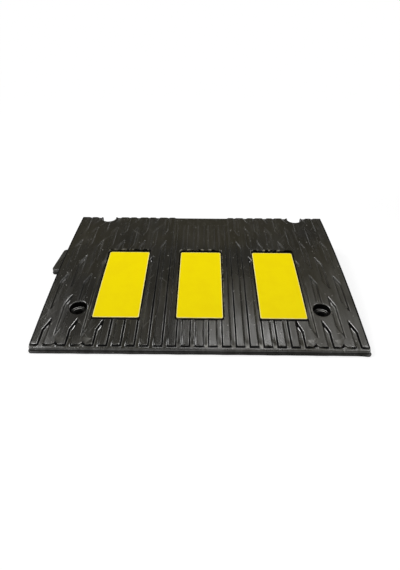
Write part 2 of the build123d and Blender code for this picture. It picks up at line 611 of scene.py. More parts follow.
class NodeGraph:
    """Node tree of one material, with short ways to add and join nodes."""

    def __init__(self, name: str) -> None:
        """Makes a material with a principled shader in it.

        Args:
            name: Name of the material.
        """
        self.material = bpy.data.materials.new(name)
        self.material.use_nodes = True
        self.tree = self.material.node_tree
        self.shader = self.tree.nodes["Principled BSDF"]
        self.place = self.add("ShaderNodeTexCoord").outputs["Object"]

    def add(self, kind: str, settings: dict | None = None,
            inputs: dict | None = None) -> bpy.types.Node:
        """Adds a node.

        Args:
            kind: Blender's name of the node type.
            settings: Properties to set.
            inputs: Values or sockets for its inputs, by name or number.

        Returns:
            The new node.
        """
        node = self.tree.nodes.new(kind)
        for key, value in (settings or {}).items():
            setattr(node, key, value)
        for key, value in (inputs or {}).items():
            self.feed(node.inputs[key], value)
        return node

    def feed(self, socket: Socket, value: object) -> None:
        """Links an input to another node's output, or sets the input's value.

        Args:
            socket: The input.
            value: An output, or a plain value.
        """
        if isinstance(value, Socket):
            self.tree.links.new(value, socket)
        else:
            socket.default_value = value

    def noise(self, pattern: Pattern) -> Socket:
        """Noise over the piece's own coordinates.

        Args:
            pattern: Which noise.

        Returns:
            The noise value, about 0.5 on average.
        """
        turned_place = self.add("ShaderNodeMapping", None, {
            "Vector": self.place, "Rotation": (0.0, 0.0, pattern.turn)})
        mapping = self.add("ShaderNodeMapping", None, {
            "Vector": turned_place.outputs["Vector"], "Scale": pattern.stretch,
            "Location": pattern.shift})
        node = self.add("ShaderNodeTexNoise", None, {
            "Vector": mapping.outputs["Vector"], "Scale": pattern.scale, "Detail": pattern.detail})
        return node.outputs["Fac"]

    def mark(self, name: str) -> Socket:
        """Value of one of the piece's own marks."""
        return self.add("ShaderNodeAttribute", {"attribute_name": name}).outputs["Fac"]

    def step(self, value: Socket, step: Step) -> Socket:
        """Smooth step of a value.

        Args:
            value: What is stepped.
            step: The range that it is read from and the one that it is given.

        Returns:
            The stepped value.
        """
        node = self.add("ShaderNodeMapRange", {"interpolation_type": "SMOOTHSTEP"}, {
            "Value": value, "From Min": step.low, "From Max": step.high,
            "To Min": step.start, "To Max": step.end})
        return node.outputs["Result"]

    def math(self, operation: str, first: object, second: object) -> Socket:
        """One of Blender's operations on two values."""
        node = self.add("ShaderNodeMath", {"operation": operation}, {0: first, 1: second})
        return node.outputs["Value"]

    def times(self, first: object, second: object) -> Socket:
        """Product of two values."""
        return self.math("MULTIPLY", first, second)

    def plus(self, first: object, second: object) -> Socket:
        """Sum of two values."""
        return self.math("ADD", first, second)

    def larger(self, first: object, second: object) -> Socket:
        """The larger of two values."""
        return self.math("MAXIMUM", first, second)

    def blend(self, share: Socket, first: object, second: object) -> Socket:
        """Colour that goes from the first to the second as the share rises."""
        inputs = {"Fac": share, "Color1": first, "Color2": second}
        return self.add("ShaderNodeMixRGB", None, inputs).outputs["Color"]

    def bump(self, height: Socket, relief: Relief, under: Socket | None = None) -> Socket:
        """Normal of a relief, on top of another one.

        Args:
            height: What the relief follows.
            relief: Its strength and depth.
            under: Normal of the relief below it, if any.

        Returns:
            The bent normal.
        """
        inputs = {"Height": height, "Strength": relief.strength, "Distance": relief.depth}
        node = self.add("ShaderNodeBump", None, inputs)
        if under is not None:
            self.feed(node.inputs["Normal"], under)
        return node.outputs["Normal"]

    def shade(self, **inputs: object) -> bpy.types.Material:
        """Sets the shader's inputs.

        Args:
            inputs: Values or sockets, by the input's name with underscores.

        Returns:
            The finished material.
        """
        for key, value in inputs.items():
            self.feed(self.shader.inputs[key.replace("_", " ")], value)
        return self.material


@dataclass(frozen=True)
class RubberFinish:
    """Satin black moulded rubber with dust and scuffs, painted highlight with wear on rims, and
    painted black shade on walls.
    """

    clean: Colour = (0.0125, 0.0115, 0.0086, 1.0)
    film: Colour = (0.0185, 0.0158, 0.0075, 1.0)
    dust: Colour = (0.125, 0.120, 0.108, 1.0)
    # Pale grey of chipped rubber, and of the painted highlight with wear on rims and bevels.
    rub_and_highlight: Colour = (0.48, 0.47, 0.44, 1.0)
    # Near black painted shade on slot walls, pockets, bores, border and the outer wall's foot.
    shade_black: Colour = (0.002, 0.002, 0.002, 1.0)
    # Pale flecks along the pockets' edges.
    pale_fleck: Colour = (0.45, 0.43, 0.40, 1.0)

    clouds: Pattern = Pattern(7.0, 4.0)
    streaks: Pattern = Pattern(30.0, 5.0, (6.0, 0.45, 1.0))
    patches: Pattern = Pattern(11.0, 2.0, shift=(3.1, 1.7, 0.4))
    bands: Pattern = Pattern(42.0, 1.0, (1.0, 0.05, 0.05), (0.3, 0.0, 0.0))
    grain: Pattern = Pattern(1400.0, 2.0)
    rising: Pattern = Pattern(26.0, 2.0, (14.0, 0.8, 1.0), turn=0.55)
    falling: Pattern = Pattern(26.0, 2.0, (14.0, 0.8, 1.0), (5.3, 0.0, 0.0), -0.7)
    chips: Pattern = Pattern(210.0, 1.0, shift=(0.0, 7.7, 0.0))
    rubbing_and_highlight: Pattern = Pattern(60.0, 3.0)
    flecks: Pattern = Pattern(120.0, 4.0)
    sheen: Pattern = Pattern(24.0, 4.0, (4.0, 0.6, 1.0), (1.9, 0.0, 0.0))

    bevel_start: Step = Step(0.02, 0.25)
    bevel_end: Step = Step(0.65, 0.9, 1.0, 0.0)
    shade_black_step: Step = Step(0.8, 0.97)
    film_step: Step = Step(0.3, 0.65)
    streak_step: Step = Step(0.56, 0.8)
    rising_step: Step = Step(0.66, 0.72)
    falling_step: Step = Step(0.67, 0.73)
    patch_step: Step = Step(0.42, 0.62, 0.08, 0.4)
    chip_step: Step = Step(0.73, 0.78, 0.0, 0.4)
    rubbing_and_highlight_step: Step = Step(0.32, 0.68, 0.3, 0.85)
    fleck_step: Step = Step(0.45, 0.58)
    cloud_roughness: Step = Step(0.3, 0.7, 0.2, 0.29)
    band_roughness: Step = Step(0.3, 0.7, 0.0, 0.08)
    sheen_step: Step = Step(0.35, 0.65, 0.7, 1.15)
    shine_step: Step = Step(0.0, 1.0, 0.7, 0.06)

    streak_dust: float = 0.25
    streak_roughness: float = 0.12
    shade_black_roughness: float = 0.3
    edge_roughness: float = -0.1
    grain_relief: Relief = Relief(0.12, 0.0002)
    streak_relief: Relief = Relief(0.15, 0.0005)
    patch_relief: Relief = Relief(0.25, 0.002)
    band_relief: Relief = Relief(0.4, 0.0015)

    def material(self) -> bpy.types.Material:
        """Node tree: brown film, dust streaks and scratches, dull walls in painted black shade,
        painted highlight with wear on rims.

        Returns:
            The material.
        """
        graph = NodeGraph("moulded_rubber")
        clouds, streaks, patches, bands, grain = (graph.noise(pattern) for pattern in (
            self.clouds, self.streaks, self.patches, self.bands, self.grain))
        rim, wall, pale_fleck, wear_and_highlight = (graph.mark(name) for name in ("rim", "wall", "pale_fleck", "wear_and_highlight"))
        bevel = graph.times(graph.step(wall, self.bevel_start), graph.step(wall, self.bevel_end))
        edge = graph.larger(rim, bevel)
        shade_black_share = graph.step(wall, self.shade_black_step)
        streak = graph.step(streaks, self.streak_step)
        scratch = graph.larger(graph.step(graph.noise(self.rising), self.rising_step),
                               graph.step(graph.noise(self.falling), self.falling_step))
        rubbing_and_highlight = graph.step(graph.noise(self.rubbing_and_highlight), self.rubbing_and_highlight_step)
        fleck = graph.step(graph.noise(self.flecks), self.fleck_step)
        colour = graph.blend(graph.step(clouds, self.film_step), self.clean, self.film)
        for share, paint in (
                (graph.times(streak, self.streak_dust), self.dust),
                (graph.times(scratch, graph.step(patches, self.patch_step)), self.dust),
                (graph.step(graph.noise(self.chips), self.chip_step), self.rub_and_highlight),
                # Pale painted highlight with wear on rims and bevels that face the middle.
                (graph.times(graph.times(edge, wear_and_highlight), rubbing_and_highlight), self.rub_and_highlight),
                # Black painted shade where the wall mark is high.
                (shade_black_share, self.shade_black),
                (graph.times(pale_fleck, fleck), self.pale_fleck)):
            colour = graph.blend(share, colour, paint)
        rough = graph.plus(graph.step(clouds, self.cloud_roughness),
                           graph.step(bands, self.band_roughness))
        for value, change in ((streak, self.streak_roughness), (shade_black_share, self.shade_black_roughness),
                              (edge, self.edge_roughness)):
            rough = graph.plus(rough, graph.times(value, change))
        sheen = graph.step(graph.noise(self.sheen), self.sheen_step)
        shine = graph.times(graph.step(shade_black_share, self.shine_step), sheen)
        normal = graph.bump(grain, self.grain_relief)
        normal = graph.bump(streaks, self.streak_relief, normal)
        normal = graph.bump(patches, self.patch_relief, normal)
        normal = graph.bump(bands, self.band_relief, normal)
        return graph.shade(Base_Color=colour, Roughness=rough, Normal=normal,
                           Specular_IOR_Level=shine)


@dataclass(frozen=True)
class SheetFinish:
    """Yellow reflective sheet: a smooth clear face over a fine beaded ground."""

    yellow: Colour = (0.835, 0.672, 0.0008, 1.0)
    shade: Colour = (0.815, 0.645, 0.0008, 1.0)
    # Paler yellow of the painted highlight along the sheet's edge.
    edge_highlight: Colour = (0.93, 0.84, 0.36, 1.0)
    mottle: Pattern = Pattern(38.0, 4.0)
    edge_highlight_noise: Pattern = Pattern(140.0, 3.0)
    bead_scale: float = 1600.0
    shade_step: Step = Step(0.38, 0.68)
    edge_highlight_step: Step = Step(0.3, 0.7, 0.45, 0.95)
    roughness: Step = Step(0.3, 0.7, 0.42, 0.52)
    bead_relief: Relief = Relief(0.12, 0.0002)
    mottle_relief: Relief = Relief(0.1, 0.001)
    shine: float = 0.03

    def material(self) -> bpy.types.Material:
        """Node tree: faint mottling, fine beads in the relief and a painted highlight along the
        edge.

        Returns:
            The material.
        """
        graph = NodeGraph("reflective_sheet_face")
        mottle = graph.noise(self.mottle)
        beads = graph.add("ShaderNodeTexVoronoi", None, {
            "Vector": graph.place, "Scale": self.bead_scale}).outputs["Distance"]
        colour = graph.blend(graph.step(mottle, self.shade_step), self.yellow, self.shade)
        edge_highlight_noise = graph.step(graph.noise(self.edge_highlight_noise), self.edge_highlight_step)
        colour = graph.blend(graph.times(graph.mark("rim"), edge_highlight_noise), colour, self.edge_highlight)
        normal = graph.bump(beads, self.bead_relief)
        normal = graph.bump(mottle, self.mottle_relief, normal)
        return graph.shade(Base_Color=colour, Roughness=graph.step(mottle, self.roughness),
                           Normal=normal, Specular_IOR_Level=self.shine)


@dataclass(frozen=True)
class AdhesiveFinish:
    """Brown contact adhesive, brushed on unevenly."""

    thick: Colour = (0.022, 0.012, 0.006, 1.0)
    thin: Colour = (0.06, 0.035, 0.015, 1.0)
    brush: Pattern = Pattern(90.0, 5.0, (1.0, 0.3, 1.0))
    thin_step: Step = Step(0.35, 0.65)
    roughness: Step = Step(0.3, 0.7, 0.3, 0.55)
    relief: Relief = Relief(0.5, 0.0005)

    def material(self) -> bpy.types.Material:
        """Node tree: brush marks in colour, gloss and relief.

        Returns:
            The material.
        """
        graph = NodeGraph("contact_adhesive")
        brush = graph.noise(self.brush)
        colour = graph.blend(graph.step(brush, self.thin_step), self.thick, self.thin)
        return graph.shade(Base_Color=colour, Roughness=graph.step(brush, self.roughness),
                           Normal=graph.bump(brush, self.relief))


@dataclass(frozen=True)
class SteelFinish:
    """Dull dark steel with turning marks, a little rust where water stands, and a painted highlight
    on the bore's chamfers.
    """

    steel: Colour = (0.008, 0.008, 0.007, 1.0)
    painted_glint: Colour = (0.62, 0.61, 0.58, 1.0)
    rust: Colour = (0.018, 0.013, 0.009, 1.0)
    blotches: Pattern = Pattern(160.0, 5.0)
    scratches: Pattern = Pattern(500.0, 3.0, (1.0, 1.0, 6.0))
    rust_step: Step = Step(0.52, 0.7, 0.0, 0.7)
    roughness: Step = Step(0.35, 0.7, 0.45, 0.6)
    metal_step: Step = Step(0.0, 1.0, 0.9, 0.15)
    painted_glint_share: float = 0.9
    rim_roughness: float = -0.2
    relief: Relief = Relief(0.2, 0.0002)

    def material(self) -> bpy.types.Material:
        """Node tree: blotches of rust, a painted highlight on the rims and fine scratches.

        Returns:
            The material.
        """
        graph = NodeGraph("bush_steel_dull")
        blotches, rim = graph.noise(self.blotches), graph.mark("rim")
        colour = graph.blend(graph.step(blotches, self.rust_step), self.steel, self.rust)
        colour = graph.blend(graph.times(rim, self.painted_glint_share), colour, self.painted_glint)
        rough = graph.plus(graph.step(blotches, self.roughness),
                           graph.times(rim, self.rim_roughness))
        return graph.shade(Base_Color=colour, Roughness=rough,
                           Metallic=graph.step(rim, self.metal_step),
                           Normal=graph.bump(graph.noise(self.scratches), self.relief))


@dataclass(frozen=True)
class StageFinish:
    """White paint of the floor and the backdrop, which the camera and reflections see as white."""

    floor: Colour = (0.45, 0.45, 0.45, 1.0)
    backdrop: Colour = (0.02, 0.02, 0.02, 1.0)
    glow: Colour = (1.0, 1.0, 1.0, 1.0)
    glow_step: Step = Step(0.0, 1.0, 0.62, 1.0)

    def material(self) -> bpy.types.Material:
        """Node tree: matt paint, with a plain glow on camera, glossy and transmission rays only.

        Returns:
            The material.
        """
        graph = NodeGraph("stage_white")
        rays = graph.add("ShaderNodeLightPath").outputs
        seen = graph.larger(rays["Is Camera Ray"], rays["Is Glossy Ray"])
        seen = graph.larger(seen, rays["Is Transmission Ray"])
        rise = graph.mark("rise")
        return graph.shade(Base_Color=graph.blend(rise, self.floor, self.backdrop), Roughness=1.0,
                           Specular_IOR_Level=0.0, Emission_Color=self.glow,
                           Emission_Strength=graph.times(seen, graph.step(rise, self.glow_step)))


@dataclass
class RubberBody:
    """The one rubber moulding: arched tread, pockets, holes, tongue and hollow underside."""

    finish: RubberFinish
    arch: Arch
    half_width: float = 250.0
    half_depth: float = 180.0
    corner_radius: float = 3.5
    rib_count: int = 25
    slot_width: float = 8.0
    rib_height: float = 3.0
    slot_depth: float = 3.8
    front_margin: float = 5.0
    slot_length: float = 85.0
    slot_skew: float = 21.0
    slot_repeat: float = 105.0
    slot_stagger: float = 52.5
    first_slot: float = -30.0
    slot_rows: int = 4
    joined_run: float = 200.0
    plain_columns: int = 3
    open_columns: int = 7
    joined_columns: int = 9
    notch_width: float = 9.0
    notch_depth: float = 4.0
    rib_corner: float = 2.5
    crest_pad_depth: float = 33.0
    pocket_half_width: float = 38.7
    pocket_low: float = -125.8
    pocket_high: float = 55.3
    pocket_corner: float = 5.0
    pocket_depth: float = 4.2
    panel_spacing: float = 132.0
    hole_x: float = 193.8
    hole_y: float = -101.8
    crest_hole_y: float = 175.0
    seat_height: float = 17.0
    counterbore_radius: float = 14.0
    bush_hole_radius: float = 8.65
    bolt_hole_radius: float = 6.25
    tongue_reach: float = 38.5
    tongue_low: float = 55.0
    tongue_high: float = 143.0
    tongue_thickness: float = 11.0
    tongue_corner: float = 7.0
    socket_gap: float = 1.0
    cell_columns: int = 10
    cell_rows: int = 5
    web: float = 12.0
    skin: float = 12.0
    side_wall: float = 26.0
    cell_low: float = -78.0
    cell_high: float = 149.0
    cell_corner: float = 4.0
    rim_radius: float = 1.2

    # Rings of the triangulation, at distances outside their shape.
    BORE_RINGS = (3.0, 1.7, 1.1, 0.5, 0.0, -0.25, -0.6)
    POCKET_RINGS = (0.95, -4.4, -5.2)
    RIM_RINGS = (0.0, -0.12, -0.4, -0.75, -1.2, -2.6, -3.0)
    STEP_RINGS = (0.01, 0.4, 0.9)
    CELL_RINGS = (0.4, 0.0, -1.5, -2.0)
    SOCKET_RINGS = (0.0, -0.3)
    POCKET_COVER = -8.0        # past this a pocket leaves nothing of the slots
    BORE_COVER = -0.65         # past this a bore leaves nothing of the slots
    RING_REACH = 12.0          # how far outside the outline rings are kept
    SOCKET_END = 0.5           # points this near the socket's ends are on them
    HOLE_SEGMENTS = 40

    # Curves: distances or places, and the values there.
    SLOT_DEPTHS = ((-176.0, -158.0, -60.0, 60.0, 170.0), (0.43, 1.0, 1.0, 0.62, 0.42))
    TIP_DEPTHS = ((-167.0, -160.0, -120.0), (1.0, 0.35, 1.0))
    BORE_FADE = ((1.7, 3.0), (0.0, 1.0))
    BORE_RIM = ((0.0, 0.5, 1.1, 1.7), (0.95, 0.42, 0.11, 0.0))
    BORE_WALL = ((-0.6, -0.25, 0.0), (0.0, 0.02, 1.0))
    TONGUE_STEP = ((0.0, 0.4, 0.9), (1.0, 0.02, 0.0))
    CELL_RISE = ((-2.0, -1.5, 0.0, 0.4), (1.0, 0.97, 0.02, 0.0))
    SOCKET_WALL = ((-0.3, 0.0), (1.0, 0.0))

    # Outer wall, with a groove, an undercut and a thin lip of flash.
    WALL = WallSection(
        heights=(6.6, 5.75, 5.55, 4.75, 4.45, 3.1, 2.5, 1.75, 1.6, 0.2),
        offsets=(0.1, 0.1, -0.7, -0.7, -0.1, 0.15, 0.9, 0.9, 0.85, 0.8),
        below_rim=0.8)
    WALL_REACH = 0.05          # points this near the outline are on it
    FLASH_SWING = 0.3
    FLASH_WAVES = (23.0, 7.3, 11.0)
    FLASH_ALONG = ((-200.0, 60.0), (0.9, 0.0))
    FLASH_ACROSS = ((-178.0, -170.0), (1.0, 0.0))
    CORNER_FLASH = 1.6
    CORNER_SPREAD = 90.0       # square millimetres

    def __post_init__(self) -> None:
        """Works out the pitch of the tread and the plan shapes."""
        slots = self.rib_count - 1
        rib_width = (2.0 * self.half_width - slots * self.slot_width) / self.rib_count
        self.pitch = rib_width + self.slot_width
        self.tread_edge = EdgeSection(self.slot_depth)
        self.pocket_edge = EdgeSection(self.pocket_depth, rim=0.5, foot=0.5, draft=0.3, ease=0.5,
                                       lean=0.3, foot_ease=0.5)
        self.tread = self.tread_shapes()
        self.pockets = [self.pocket(place) for place in Place]
        radii = {self.hole_y: self.bush_hole_radius, self.crest_hole_y: self.bolt_hole_radius}
        ends = [(side * self.hole_x, y) for side in (-1, 1) for y in radii]
        self.bores = [Disc(x, y, self.counterbore_radius) for x, y in ends]
        self.holes = [Disc(x, y, radii[y], self.HOLE_SEGMENTS) for x, y in ends]
        corner, gap = self.corner_radius, self.socket_gap
        self.outline = rectangle((-self.half_width, -self.half_depth),
                                 (self.half_width, self.half_depth), (corner, corner, 0.0, 0.0))
        self.tongue = rectangle((-self.half_width - self.tongue_reach, self.tongue_low),
                                (-self.half_width + self.web, self.tongue_high),
                                (self.tongue_corner, 0.0, 0.0, self.tongue_corner))
        self.socket = rectangle((self.half_width - self.tongue_reach - gap, self.tongue_low - gap),
                                (self.half_width + self.web, self.tongue_high + gap))
        self.cells = self.cell_shapes()

    def slot_spans(self, column: int) -> list[Pair]:
        """Low and high ends of the slots in a column, counted from the middle of the ramp.

        Middle columns are one slot, the next ones run together beside the panels, and the outer
        ones are a row of slots. Every second column is shifted up the ramp.

        Args:
            column: Number of the column, 0 next to the middle rib.

        Returns:
            Pairs of y.
        """
        low = -self.half_depth
        off_ramp = low - self.slot_skew
        if column < self.plain_columns:
            return [(off_ramp, self.half_depth + self.slot_skew)]
        first = low + self.first_slot + (self.slot_stagger if column % 2 == 0 else 0.0)
        tips = [first + row * self.slot_repeat for row in range(self.slot_rows)]
        spans = [(tip, tip + self.slot_length) for tip in tips]
        if column >= self.joined_columns:
            return spans
        run = [span for span in spans if span[0] < low + self.joined_run]
        if column < self.open_columns:
            return [(off_ramp, run[-1][1]), *spans[len(run):]]
        apart = 1 if run[0][0] < low else 0
        return [*run[:apart], (run[apart][0], run[-1][1]), *spans[len(run):]]

    def tread_shapes(self) -> list[PlanShape]:
        """Every plan shape that is sunk from the rib tops to the slot floor.

        Returns:
            The front strip, the crest pad, the slots, and the notches or corners at their ends.
        """
        low, high, past = -self.half_depth, self.half_depth, self.front_margin
        margin = low + self.front_margin
        pad = (self.plain_columns - 0.5) * self.pitch + self.slot_width / 2.0
        shapes: list[PlanShape] = [
            rectangle((-self.half_width - past, low - past), (self.half_width + past, margin)),
            rectangle((-pad, high - self.crest_pad_depth), (pad, high + past))]
        for column in range((self.rib_count - 1) // 2):
            middle = (column + 0.5) * self.pitch
            outer, inner = middle + self.slot_width / 2.0, middle - self.slot_width / 2.0
            slant = 0.0 if column < self.plain_columns else self.slot_skew
            spans = self.slot_spans(column)
            for start, end in spans:
                shapes += mirrored([(outer, start), (outer, end - slant),
                                    (inner, end), (inner, start + slant)])
            if spans[0][0] < low:
                shapes += self.rounded_rib_ends(outer, inner, margin)
            else:
                half = self.notch_width / 2.0
                shapes += mirrored([(middle - half, margin), (middle, low), (middle + half, margin),
                                    (middle, margin + self.notch_depth)])
        return shapes

    def rounded_rib_ends(self, outer: float, inner: float, margin: float) -> list[PlanShape]:
        """Corner fills that round the low ends of the ribs beside a slot and its mirror image.

        Args:
            outer: The slot's edge away from the middle of the ramp.
            inner: The slot's other edge.
            margin: Where the front strip ends and the ribs start.

        Returns:
            Four corner fills.
        """
        radius = self.rib_corner
        fills: list[PlanShape] = []
        for side in (-1.0, 1.0):
            for x, toward in ((outer + radius, -side), (inner - radius, side)):
                fills.append(CornerFill(side * x, margin + radius, (toward, -1.0), radius))
        return fills

    def pocket(self, place: Place) -> Polygon:
        """Plan of the pocket at a place."""
        middle, half = place.value * self.panel_spacing, self.pocket_half_width
        return rectangle((middle - half, self.pocket_low), (middle + half, self.pocket_high),
                         (self.pocket_corner,) * 4)

    def cell_shapes(self) -> list[PlanShape]:
        """Cells of the underside, left out where the socket and its wall are.

        Returns:
            One rounded rectangle per cell.
        """
        along, across = 2.0 * (self.half_width - self.side_wall), self.cell_high - self.cell_low
        size_x = (along - (self.cell_columns - 1) * self.web) / self.cell_columns
        size_y = (across - (self.cell_rows - 1) * self.web) / self.cell_rows
        cells: list[PlanShape] = []
        for column in range(self.cell_columns):
            left = -self.half_width + self.side_wall + column * (size_x + self.web)
            for row in range(self.cell_rows):
                low = self.cell_low + row * (size_y + self.web)
                middle = np.array([[left + size_x, low + size_y / 2.0]])
                if self.socket.distance(middle)[0] >= self.web + size_y / 2.0:
                    cells.append(rectangle((left, low), (left + size_x, low + size_y),
                                           (self.cell_corner,) * 4))
        return cells

    def region(self, plan: Array) -> Array:
        """Signed distance of the footprint: wedge and tongue together, less the holes."""
        whole = nearest([self.outline, self.tongue], plan)
        return np.maximum(whole, -nearest(self.holes, plan))

    def shifted(self, plan: Array) -> Array:
        """Whether points lie in one of the outer columns whose slots are shifted up the ramp."""
        column = np.rint(np.abs(plan[:, 0]) / self.pitch - 0.5)
        return (column >= self.open_columns) & (column % 2 == 0)

    def upper(self, plan: Array) -> Array:
        """Height of the upper face.

        The arch, less the deeper of the slot and pocket sections, less the rounding of the outer
        rim. The slots get shallower towards both ends, at the bores and at the low tips of the
        shifted columns. In a bore the height falls to the seat, and beyond the left wall to the
        tongue.

        Args:
            plan: Points seen from above.

        Returns:
            Heights above the ground.
        """
        y = plan[:, 1]
        outline, bore = self.outline.distance(plan), nearest(self.bores, plan)
        share = np.interp(y, *self.SLOT_DEPTHS) * np.interp(bore, *self.BORE_FADE)
        share *= np.where(self.shifted(plan), np.interp(y, *self.TIP_DEPTHS), 1.0)
        sunk = np.maximum(self.tread_edge.drop(nearest(self.tread, plan)) * share,
                          self.pocket_edge.drop(nearest(self.pockets, plan)))
        top = self.arch.height(y) - sunk - quarter_round(-outline, self.rim_radius)
        top -= np.interp(bore, *self.BORE_RIM) + self.seat_height
        top = self.seat_height + top * np.interp(bore, *self.BORE_WALL)
        rim = quarter_round(-self.tongue.distance(plan), self.rim_radius)
        flat = self.tongue_thickness - rim
        return flat + (top - flat) * np.interp(outline, *self.TONGUE_STEP)

    def lower(self, plan: Array) -> Array:
        """Height of the lower face: the ground, the cells' ceilings and the socket.

        Args:
            plan: Points seen from above.

        Returns:
            Heights above the ground.
        """
        ceiling = self.arch.height(plan[:, 1]) - self.rib_height - self.skin
        rise = np.interp(nearest(self.cells, plan), *self.CELL_RISE) * ceiling
        room = self.tongue_thickness + self.socket_gap
        return np.maximum(rise, np.interp(self.socket.distance(plan), *self.SOCKET_WALL) * room)

    def upper_lines(self) -> LineSet:
        """Rings of the sunk shapes and the outer rim, kept where they lie at their own distance.

        Returns:
            The lines of the upper face.
        """
        lines = LineSet()
        self.add_group(lines, self.tread, self.tread_edge.distances,
                       (self.pockets, self.POCKET_COVER), (self.bores, self.BORE_COVER))
        self.add_group(lines, self.pockets, (*self.pocket_edge.distances, *self.POCKET_RINGS))
        self.add_group(lines, self.bores, self.BORE_RINGS)
        for hole in self.holes:
            lines.add(hole.ring(0.0))
        for offset in self.RIM_RINGS:
            lines.add(self.outline.ring(offset))
            ring = self.tongue.ring(offset)
            lines.add(ring, keep=self.outline.distance(ring) > 0.0)
        for offset in self.STEP_RINGS:
            ring = self.outline.ring(offset)
            lines.add(ring, keep=self.tongue.distance(ring) < 0.0)
        rows = np.concatenate([self.socket.ring(offset)[:, 1] for offset in self.SOCKET_RINGS])
        sides = self.socket.corners[:, 1]
        on_end = [np.abs(rows - end) < self.SOCKET_END for end in (sides.min(), sides.max())]
        rows = np.unique(rows[np.any(on_end, axis=0)])
        lines.add_points(np.column_stack([np.full(len(rows), self.half_width), rows]))
        return lines

    def add_group(self, lines: LineSet, shapes: list[PlanShape], offsets: tuple[float, ...],
                  *covers: tuple[list[PlanShape], float]) -> None:
        """Adds the rings of one group of shapes, where no other shape swallows them.

        Args:
            lines: Where the rings go.
            shapes: Shapes that are sunk as one.
            offsets: Distances of the rings from the outline.
            covers: Other groups, each with the distance past which it leaves nothing of this one.
        """
        for offset in offsets:
            for shape in shapes:
                ring = shape.ring(offset)
                keep = np.abs(nearest(shapes, ring) - offset) < RING_TOLERANCE
                keep &= self.outline.distance(ring) < self.RING_REACH
                for group, depth in covers:
                    keep &= nearest(group, ring) > depth
                lines.add(ring, shape.closed, keep)

    def lower_lines(self) -> LineSet:
        """Rings of the cells and the socket.

        Returns:
            The lines of the lower face.
        """
        lines = LineSet()
        for offset in self.CELL_RINGS:
            for cell in self.cells:
                lines.add(cell.ring(offset))
        for offset in self.SOCKET_RINGS:
            ring = self.socket.ring(offset)
            lines.add(ring, keep=self.outline.distance(ring) < 0.0)
        return lines

    def bulge(self, plan: Array, offset: float) -> Array:
        """Outward reach of the wall's section on the outer wall, and none in the holes.

        What stands out is flash, which grows and shrinks as the product of two waves, is
        thicker on the left of the low edge, and piles up at the right front corner.

        Args:
            plan: Border points.
            offset: The section's offset at one height.

        Returns:
            Offset of each border point.
        """
        x, y = plan.T
        outer = np.abs(nearest([self.outline, self.tongue], plan)) < self.WALL_REACH
        long, short, slanted = self.FLASH_WAVES
        uneven = 1.0 + self.FLASH_SWING * np.sin(x / long) * np.sin(x / short + y / slanted)
        leftward = np.interp(x, *self.FLASH_ALONG) * np.interp(y, *self.FLASH_ACROSS)
        away = (x - self.half_width) ** 2 + (y + self.half_depth) ** 2
        corner = self.CORNER_FLASH * np.exp(-away / self.CORNER_SPREAD)
        flash = offset * (uneven + leftward + corner)
        return np.where(outer, flash if offset > 0.0 else offset, 0.0)

    def build(self) -> list[bpy.types.Object]:
        """Makes the piece and dresses it.

        Returns:
            The moulding alone.
        """
        solid = PlanSolid(self.region, self.upper, self.lower, self.upper_lines(),
                          self.lower_lines(), self.WALL, self.bulge)
        points, faces = solid.surfaces()
        piece = mesh_object("rubber_moulding", points, faces, RubberWearAndPaintedLight(self, points).marks())
        return [seat(piece, "rubber_body", self.finish.material())]


